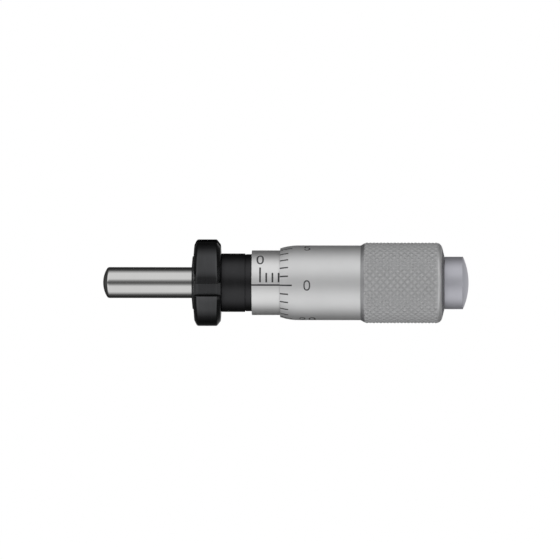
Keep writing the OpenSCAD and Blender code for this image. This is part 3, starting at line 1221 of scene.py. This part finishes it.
@dataclass
class ScaleSleeve:
    """Sleeve with the straight scale, engraved and filled with black, and a spanner hole at the back."""

    radius: float = 3.32
    bore: float = 3.12
    length: float = 9.0
    edges: Pair = (0.05, 0.06)
    zero_x: float = 0.89
    pitch: float = 0.635
    divisions: int = 10
    long_every: int = 4
    line_width: float = 0.17
    datum_width: float = 0.15
    line_depth: float = 0.04
    gap: float = 0.28
    short: float = 0.98
    long: float = 1.58
    wall: float = 0.004
    numeral_turn: float = 49.8
    numeral_size: tuple[float, float, float] = (0.70, 1.26, 0.165)
    hole: Pair = (1.3, 0.4)
    hole_floor: float = 0.02
    hole_wall: float = 0.03
    hole_ink: float = 0.035
    hole_span: float = 1.05
    hole_rows: int = 43
    body_margin: float = 0.2
    body_rows: int = 30
    even_columns: int = 120

    def across_hole(self) -> Array:
        """Close places across the spanner hole, from its middle."""
        return np.linspace(-self.hole_span, self.hole_span, self.hole_rows) * self.hole[1]

    def columns(self) -> Array:
        """Angles of the grid's columns, close on both sides of every line's edge.

        Returns:
            Sorted angles, in radians.
        """
        ease = self.wall / self.radius
        half = self.datum_width / 2
        edges = np.array([-half, half, self.gap, self.gap + self.short, self.gap + self.long]) / self.radius
        hole = math.pi + self.across_hole() / self.radius
        both_sides = np.r_[edges - ease, edges + ease] % FULL_TURN
        return np.unique(np.r_[both_sides, hole, turns(self.even_columns)].round(6))

    def build(self) -> Piece:
        """Builds the sleeve.

        A grid point is sunk by the line depth where it lies inside a line: within half a line width of line i
        along x and between that line's two angles, or within half a line width of the datum. Inside the
        spanner hole the surface drops to just above the bore, and its floor is as dark as the stem below.

        Returns:
            The sleeve piece.
        """
        half = self.line_width / 2
        hole_x, hole_r = self.hole
        x_line = self.zero_x + np.arange(self.divisions + 1) * self.pitch
        datum_end = x_line[-1] + self.line_width
        corners = [
            [0.0, self.bore, 0.0],
            [0.0, self.radius, self.edges[0]],
            [self.length, self.radius, self.edges[1]],
            [self.length, self.bore, 0.0],
        ]
        line_edges = np.r_[x_line - half, x_line + half, datum_end]
        body = np.linspace(self.body_margin, self.length - self.body_margin, self.body_rows)
        places = np.r_[line_edges - self.wall, line_edges + self.wall, hole_x + self.across_hole(), body]
        skin = Skin.lathe(with_rows(rounded(corners), np.sort(places)), self.columns())
        turn = (skin.turn + math.pi) % FULL_TURN - math.pi
        arc_length = turn * self.radius
        on_top = skin.radius > self.radius - max(self.edges)
        order = np.rint((skin.x - self.zero_x) / self.pitch)
        reach = self.gap + np.where(order % self.long_every == 0, self.long, self.short)
        in_line = np.abs(skin.x - self.zero_x - order * self.pitch) < half
        in_line &= (order >= 0) & (order <= self.divisions)
        in_line &= (arc_length > self.gap) & (arc_length < reach)
        on_datum = (np.abs(arc_length) < self.datum_width / 2) & (skin.x < datum_end)
        inked = on_top & (in_line | on_datum)
        skin.radius = np.where(inked, np.minimum(skin.radius, self.radius - self.line_depth), skin.radius)
        off = np.hypot(skin.x - hole_x, (np.abs(turn) - math.pi) * self.radius)
        sunk = np.where(on_top, 1 - smooth_step(off, hole_r - self.hole_wall, hole_r), 0)
        skin.radius = skin.radius - (self.radius - self.bore - self.hole_floor) * sunk
        inked |= on_top & (off < hole_r - self.hole_ink)
        skin.slot = inked.astype(int)
        return skin.piece("scale_tube", closed=True)

    def numbers(self) -> Piece:
        """Builds the numerals of the long lines, counted up from 0.

        Returns:
            The numerals as one piece.
        """
        numerals = Numerals(self.radius, *self.numeral_size)
        for count in range(self.divisions // self.long_every + 1):
            x = self.zero_x + count * self.long_every * self.pitch
            numerals.add(str(count), x, math.radians(self.numeral_turn))
        return numerals.piece("sleeve_numerals")

    def dress(self, finishes: Finishes) -> None:
        """Builds the sleeve and its numerals and seats them on the sleeve's body.

        Args:
            finishes: Finishes of the head.
        """
        tube_finishes = [finishes.sleeve_chrome, finishes.ink]
        seat(self.build(), Body.SLEEVE, "satin_chrome", tube_finishes, "scale_sleeve")
        seat(self.numbers(), Body.SLEEVE, "satin_chrome", [finishes.ink])


@dataclass
class Thimble:
    """Thimble with the round scale on its nose, the plain barrel and the diamond knurl."""

    bore: float = 3.37
    lip_r: float = 3.53
    lip_edge: float = 0.025
    barrel_r: float = 3.835
    nose_l: float = 1.88
    nose_start: float = 0.10
    nose_rows: int = 16
    barrel_l: float = 8.28
    barrel_margins: Pair = (2.2, 0.2)
    barrel_rows: int = 10
    let_in: float = 0.04
    bevel_l: float = 0.48
    bevel_edge: float = 0.08
    bevel_bare: float = 0.1
    grip_r: float = 4.135
    corner: float = 0.68
    corner_rows: int = 12
    slope_l: float = 0.35
    slope_chrome: float = 0.01
    end_r: float = 2.755
    end_edge: float = 0.03
    web_t: float = 2.55
    taper: Pair = (1.8525, 1.58)
    divisions: int = 25
    number_every: int = 5
    line_width: float = 0.135
    line_depth: float = 0.04
    line_room: float = 0.012
    short: float = 0.85
    long: float = 1.25
    wall: float = 0.004
    columns_per_division: int = 8
    numeral_x: float = 2.79
    numeral_size: tuple[float, float, float] = (0.67, 1.07, 0.135)
    knurl_count: int = 36
    knurl_depth: float = 0.14
    knurl_pitch: float = 0.71
    knurl_top: float = 0.82
    knurl_over: Pair = (0.2, 0.32)
    knurl_fade: Pair = (0.25, 0.3)
    knurl_steps: int = 12

    def columns(self) -> Array:
        """Angles of the barrel's columns: both sides of every line's edge, and even ones clear of the lines.

        Returns:
            Sorted angles, in radians.
        """
        middle = turns(self.divisions)
        half, ease = self.line_width / 2 / self.lip_r, self.wall / self.lip_r
        fine = np.concatenate([middle + side * half + step * ease for side in (-1, 1) for step in (-1, 1)])
        even = turns(self.divisions * self.columns_per_division)
        off = (even[:, None] - middle[None, :] + math.pi) % FULL_TURN - math.pi
        clear = np.abs(off).min(axis=1) > half + self.line_room / self.lip_r
        return np.unique(np.r_[fine % FULL_TURN, even[clear]].round(7))

    def nose(self, x: Array, front: float) -> Array:
        """Radius of the nose: a circular arc that meets the barrel without a step.

        With f the fall from barrel to lip and l the nose's length, the arc's own radius is (l^2 + f^2) / 2f.

        Args:
            x: Places along the axis, in mm.
            front: Place of the lip, in mm.

        Returns:
            The radius at each place.
        """
        fall = self.barrel_r - self.lip_r
        bend = (self.nose_l**2 + fall**2) / (2 * fall)
        return self.barrel_r - bend + np.sqrt(bend**2 - np.minimum(x - front - self.nose_l, 0) ** 2)

    def build_barrel(self) -> Piece:
        """Builds the nose and barrel as one closed ring of surface.

        A point on the nose is sunk by the line depth where it lies within half a line width of a division and
        ahead of that line's end.

        Returns:
            The barrel piece, whose rear end is let a little way into the grip.
        """
        front = front_x("thimble")
        rear = front + self.barrel_l + self.let_in
        nose_x = front + np.linspace(self.nose_start, self.nose_l, self.nose_rows)
        corners = [
            [front, self.bore, 0.0],
            [front, self.lip_r, self.lip_edge],
            *plain_rows(nose_x, self.nose(nose_x, front)),
            [rear, self.barrel_r, 0.0],
            [rear, self.bore, 0.0],
        ]
        ends = front + np.array([self.short, self.long])
        after, before = self.barrel_margins
        barrel = np.linspace(front + after, rear - before, self.barrel_rows)
        places = np.sort(np.r_[ends - self.wall, ends + self.wall, barrel])
        skin = Skin.lathe(with_rows(rounded(corners), places), self.columns())
        order = np.rint(skin.turn * self.divisions / FULL_TURN)
        off = np.abs(skin.turn - order * FULL_TURN / self.divisions) * self.lip_r
        reach = np.where(order % self.number_every == 0, self.long, self.short)
        outside = skin.radius > (self.bore + self.lip_r) / 2
        inked = outside & (off < self.line_width / 2) & (skin.x - front < reach)
        floor = self.nose(skin.x, front) - self.line_depth
        skin.radius = np.where(inked, np.minimum(skin.radius, floor), skin.radius)
        skin.slot = inked.astype(int)
        return skin.piece("thimble_barrel", closed=True)

    def knurl(self, skin: Skin, start: float, stop: float) -> Array:
        """Depth of the knurl on the grid.

        With a counted round the grip and b along it in diamonds, the two sets of grooves are a + b and a - b.
        The height is 1 - 2 max(|p|, |q|), where p and q are their distances from the nearest ridge: a square
        pyramid with its top cut off. It fades out over a short run at both ends.

        Args:
            skin: Grid of the grip.
            start: First place of the knurl along x, in mm.
            stop: Last place of the knurl along x, in mm.

        Returns:
            Depth below the plain grip as a share of the full depth.
        """
        a = skin.turn * self.knurl_count / FULL_TURN
        b = (skin.x - start) / self.knurl_pitch
        p, q = a + b, a - b
        ridge = 1 - 2 * np.maximum(np.abs(p - np.rint(p)), np.abs(q - np.rint(q)))
        depth = 1 - np.minimum(ridge / self.knurl_top, 1)
        fade_in = smooth_step(skin.x, start, start + self.knurl_fade[0])
        fade_out = 1 - smooth_step(skin.x, stop - self.knurl_fade[1], stop)
        return depth * fade_in * fade_out * (skin.radius > self.bore)

    def build_grip(self) -> Piece:
        """Builds the knurled grip and the end wall as one closed ring of surface.

        Its rear corner is an arc that is tangent to the grip and to the conical end face. The rows and
        columns fall on twelfths of a diamond, so that every groove and ridge lies on the grid. The knurl
        takes the first finish, the plain ring behind it the second, and the front bevel and the end face the
        third, a darker copy of the chrome that is painted shade.

        Returns:
            The grip piece.
        """
        front, end = front_x("thimble") + self.barrel_l, rear_x("thimble")
        bevel_end = front + self.bevel_l
        slope = math.atan2(self.grip_r - self.end_r, self.slope_l)
        turn_x = end - self.slope_l - self.corner * math.tan(slope / 2)
        a = np.linspace(0, slope, self.corner_rows)
        corner_x = turn_x + self.corner * np.sin(a)
        corners = [
            [front, self.bore, 0.0],
            [front, self.barrel_r, 0.0],
            [bevel_end, self.grip_r, self.bevel_edge],
            *plain_rows(corner_x, self.grip_r - self.corner * (1 - np.cos(a))),
            [end, self.end_r, self.end_edge],
        ]
        start, stop = bevel_end - self.knurl_over[0], turn_x + self.knurl_over[1]
        outer = with_rows(rounded(corners), np.arange(start, stop, self.knurl_pitch / self.knurl_steps))
        web = end - self.web_t
        inner = plain_rows(np.array([end, web, web]), np.array([self.taper[1], self.taper[0], self.bore]))
        skin = Skin.lathe(np.vstack([outer, inner]), turns(self.knurl_count * self.knurl_steps))
        depth = self.knurl(skin, start, stop)
        skin.radius = skin.radius - self.knurl_depth * depth
        # Painted shade: the knurl's depth is the groove mark, by which the grip darkens in its grooves.
        skin.groove = depth
        # Painted shade: the front bevel and the end face take the darker copy of the chrome.
        painted_shade_zone = (skin.x > corner_x[-1] + self.slope_chrome) | (skin.x < bevel_end - self.bevel_bare)
        skin.slot = np.where(painted_shade_zone, 2, skin.x > stop)
        return skin.piece("thimble_grip", closed=True)

    def numbers(self) -> Piece:
        """Builds the numerals of the numbered lines.

        Returns:
            The numerals as one piece.
        """
        numerals = Numerals(self.barrel_r, *self.numeral_size)
        x = front_x("thimble") + self.numeral_x
        for division in range(0, self.divisions, self.number_every):
            numerals.add(str(division), x, division * FULL_TURN / self.divisions)
        return numerals.piece("thimble_numerals")

    def dress(self, finishes: Finishes) -> None:
        """Builds the barrel, the grip and the numerals and seats them on the thimble's body.

        Args:
            finishes: Finishes of the head.
        """
        grip_finishes = [finishes.grip, finishes.chrome, finishes.end_face]
        seat(self.build_barrel(), Body.THIMBLE, "satin_chrome", [finishes.chrome, finishes.ink], "thimble")
        seat(self.build_grip(), Body.THIMBLE, "satin_chrome", grip_finishes)
        seat(self.numbers(), Body.THIMBLE, "satin_chrome", [finishes.ink])


@dataclass
class EndCap:
    """Round cap with a domed end and a shank in the spindle's tapped end."""

    radius: float = 2.695
    side_l: float = 1.88
    face_edge: float = 0.05
    dome_h: float = 0.58
    dome_rows: int = 18
    rim: float = 0.06
    shank_r: float = 0.78
    shank_edge: float = 0.08
    columns: int = 128

    def build(self) -> Piece:
        """Builds the cap.

        The dome is an arc of radius (r^2 + h^2) / 2h through the rim and the end of the axis.

        Returns:
            The cap piece.
        """
        start, end = front_x("end_cap"), rear_x("end_cap")
        face = end - self.dome_h - self.side_l
        bend = (self.radius**2 + self.dome_h**2) / (2 * self.dome_h)
        angle = np.linspace(math.asin(self.radius / bend), 0, self.dome_rows)
        dome = plain_rows(end - bend * (1 - np.cos(angle)), bend * np.sin(angle))
        dome[0, 2] = self.rim
        corners = [
            [start, 0.0, 0.0],
            [start, self.shank_r, self.shank_edge],
            [face, self.shank_r, 0.0],
            [face, self.radius, self.face_edge],
            *dome,
        ]
        return Skin.lathe(rounded(corners), turns(self.columns)).piece("cap_button", closed=False)

    def dress(self, finishes: Finishes) -> None:
        """Builds the cap and seats it on its body."""
        seat(self.build(), Body.CAP, "turned_steel", [finishes.turned], "end_cap")


@dataclass
class AdjustingNut:
    """Split nut's adjuster inside the thimble, which keeps its CAD shape."""

    node: str = "adjusting_nut"

    def dress(self, finishes: Finishes) -> None:
        """Gives the CAD node the stem's finish.

        Args:
            finishes: Finishes of the head.
        """
        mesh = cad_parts[self.node].data
        mesh.materials.clear()
        mesh.materials.append(finishes.oxide)
        log.info("%s keeps its CAD shape", self.node)


# Stage


@dataclass(frozen=True)
class Lamp:
    """Large soft lamp that points at the origin, lights paint and floor, and stays out of mirrors."""

    name: str
    place: tuple[float, float, float]
    size: float
    watts: float

    def add(self) -> None:
        """Adds the lamp to the scene."""
        data = bpy.data.lights.new(self.name, "AREA")
        data.size = self.size * MM
        data.energy = self.watts
        lamp = bpy.data.objects.new(self.name, data)
        lamp.location = Vector(self.place) * MM
        lamp.rotation_euler = (-lamp.location).to_track_quat("-Z", "Y").to_euler()
        lamp.visible_glossy = False
        bpy.context.scene.collection.objects.link(lamp)


@dataclass
class Studio:
    """White sweep, soft light, the reflection tent and the photograph's camera.

    The tent's brightness is given by stops of a place and a level. Two tables go by the angle from straight
    ahead, in degrees: the cloth all round and the window at the back. Two go by the place along the axis from
    the tent's front end, in mm: one for the cloth and one for the window.
    """

    floor_z: float = -34.0
    sweep_back: float = 900.0
    sweep_side: float = 1600.0
    bend: float = 300.0
    bend_rows: int = 24
    sweep_white: float = 0.9
    sweep_roughness: float = 0.9
    shadow_ring: Pair = (40.0, 120.0)
    shadow_glow: float = 0.55
    tent_r: float = 33.0
    tent_half: float = 220.0
    tent_tilt: float = 4.0
    tent_columns: int = 96
    azimuth: float = 1.0
    elevation: float = 4.1
    target: Pair = (2.885, 0.282)
    frame_width: float = 57.5
    distance: float = 300.0
    clip: Pair = (1.0, 10000.0)
    world_level: float = 0.5
    lamps: tuple[Lamp, ...] = (
        Lamp("lamp_above", (-60, -160, 300), 320, 1.6),
        Lamp("lamp_side", (240, -220, 160), 220, 0.5),
    )
    cloth_around: tuple[Pair, ...] = (
        (0, 0.13),
        (5, 0.19),
        (31, 1.0),
        (71, 1.0),
        (87, 0.55),
        (99, 0.16),
        (119, 0.04),
        (150, 0.07),
        (180, 0.12),
    )
    cloth_along: tuple[Pair, ...] = ((0, 0.55), (15, 1.0), (330, 1.0), (380, 0.3), (440, 0.2))
    window_around: tuple[Pair, ...] = ((0, 0.0), (145, 0.0), (163, 0.95), (180, 1.0))
    window_along: tuple[Pair, ...] = (
        (0, 0.0),
        (205, 0.0),
        (222, 0.35),
        (238, 0.35),
        (252, 1.0),
        (290, 1.0),
        (330, 0.2),
    )

    def sweep(self) -> None:
        """Makes the floor and backdrop as one sheet.

        The section runs flat, turns up on a quarter circle and goes on upright.
        """
        angle = np.linspace(0, math.pi / 2, self.bend_rows)
        flat = self.sweep_back - self.bend
        y = np.r_[-self.sweep_back, flat + self.bend * np.sin(angle), self.sweep_back]
        z = np.r_[0, self.bend * (1 - np.cos(angle)), self.sweep_side] + self.floor_z
        x = np.array([-self.sweep_side, self.sweep_side])
        points = np.stack([np.tile(x, len(y)), np.repeat(y, 2), np.repeat(z, 2)], axis=1) * MM
        index = np.arange(len(points)).reshape(-1, 2)
        faces = grid_faces(index, rows_join=False, columns_join=False, flipped=True)
        sheet = make_piece("studio_sweep", points, faces)
        sheet.data.materials.append(self.sweep_paint())

    def sweep_paint(self) -> Material:
        """Paint of the sweep.

        Returns:
            White paint that shines by itself to the camera, mirrors and glass, and less so near the part,
            where the lit paint keeps the shadow.
        """
        shader = Shader("studio_white")
        paint = shader.surface
        paint.inputs["Base Color"].default_value = (self.sweep_white, self.sweep_white, self.sweep_white, 1)
        paint.inputs["Roughness"].default_value = self.sweep_roughness
        glow = shader.add("ShaderNodeEmission")
        glow.inputs["Color"].default_value = WHITE
        length = shader.add("ShaderNodeVectorMath", operation="LENGTH")
        shader.link(shader.place(), length.inputs[0])
        ring = (self.shadow_ring[0] * MM, self.shadow_ring[1] * MM)
        away = shader.span(length.outputs["Value"], ring, (self.shadow_glow, 1.0), "SMOOTHSTEP")
        both = shader.add("ShaderNodeMixShader")
        shader.link(shader.math("MULTIPLY", shader.seen(), away), both.inputs[0])
        shader.link(paint.outputs["BSDF"], both.inputs[1])
        shader.link(glow.outputs["Emission"], both.inputs[2])
        shader.link(both.outputs["Shader"], shader.output.inputs["Surface"])
        return shader.material

    def tent(self) -> None:
        """Makes the reflection tent, a drum round the axis with a closed front, which only mirrors see."""
        x = np.array([-self.tent_half, -self.tent_half, self.tent_half])
        profile = plain_rows(x, np.array([0.0, self.tent_r, self.tent_r]))
        drum = Skin.lathe(profile, turns(self.tent_columns)).piece("studio_tent", closed=False)
        drum.data.materials.append(self.tent_cloth())
        drum.visible_camera = False
        drum.visible_diffuse = False
        drum.visible_shadow = False
        drum.visible_transmission = False

    def tent_cloth(self) -> Material:
        """Cloth of the tent.

        Its strength is the cloth's level round the axis times that along it, plus the same of the window.

        Returns:
            A glowing material: dim straight ahead, bright above and below, dark behind, bright in the window.
        """
        shader = Shader("studio_tent_cloth")
        split = shader.add("ShaderNodeSeparateXYZ")
        shader.link(shader.place(), split.inputs[0])
        ahead = shader.math("MULTIPLY", split.outputs["Y"], -1.0)
        angle = shader.math("ARCTAN2", split.outputs["Z"], ahead)
        angle = shader.math("SUBTRACT", angle, math.radians(self.tent_tilt))
        around = shader.math("DIVIDE", shader.math("ABSOLUTE", angle), math.pi)
        length = 2 * self.tent_half
        along = shader.math("ADD", shader.math("DIVIDE", split.outputs["X"], length * MM), 0.5)
        lights = []
        for by_angle, by_place in (
            (self.cloth_around, self.cloth_along),
            (self.window_around, self.window_along),
        ):
            level = shader.levels(around, by_angle, 180)
            lights.append(shader.math("MULTIPLY", level, shader.levels(along, by_place, length)))
        glow = shader.add("ShaderNodeEmission")
        shader.link(shader.math("ADD", *lights), glow.inputs["Strength"])
        shader.link(glow.outputs["Emission"], shader.output.inputs["Surface"])
        shader.material.cycles.emission_sampling = "NONE"
        return shader.material

    def air(self) -> None:
        """Makes the world, which the camera, mirrors and glass see white and which lights the rest softly."""
        world = bpy.data.worlds.new("studio_air")
        world.use_nodes = True
        nodes = Nodes(world.node_tree)
        back = nodes.tree.nodes["Background"]
        back.inputs["Color"].default_value = WHITE
        level = nodes.span(nodes.seen(), (0.0, 1.0), (self.world_level, 1.0))
        nodes.link(level, back.inputs["Strength"])
        bpy.context.scene.world = world

    def camera(self) -> None:
        """Adds the photograph's camera, a parallel view that looks slightly down on the datum side."""
        a, e = math.radians(self.azimuth), math.radians(self.elevation)
        back = Vector((math.sin(a) * math.cos(e), -math.cos(a) * math.cos(e), math.sin(e)))
        turn = (-back).to_track_quat("-Z", "Y")
        up = turn @ Vector((0, 1, 0))
        data = bpy.data.cameras.new("photo_camera")
        data.type = "ORTHO"
        data.ortho_scale = self.frame_width * MM
        data.clip_start = self.clip[0] * MM
        data.clip_end = self.clip[1] * MM
        camera = bpy.data.objects.new("photo_camera", data)
        aim = Vector((self.target[0], 0, 0)) + up * self.target[1]
        place = Matrix.Translation((aim + back * self.distance) * MM)
        camera.matrix_world = place @ turn.to_matrix().to_4x4()
        bpy.context.scene.collection.objects.link(camera)
        bpy.context.scene.camera = camera

    def build(self) -> None:
        """Sets the stage and the plain view transform."""
        self.sweep()
        self.tent()
        for lamp in self.lamps:
            lamp.add()
        self.air()
        self.camera()
        bpy.context.scene.view_settings.view_transform = "Standard"
        log.info("the stage is set")


def main() -> None:
    """Builds every sub-assembly in order, then the stage."""
    logging.basicConfig(level=logging.INFO, format="%(name)s: %(message)s")
    finishes = Finishes.make()
    thread = NoseThread()
    for part in (
        Spindle(),
        Stem(thread),
        ClampNut(thread),
        ScaleSleeve(),
        AdjustingNut(),
        Thimble(),
        EndCap(),
    ):
        part.dress(finishes)
    Studio().build()


if __name__ == "__main__":
    main()
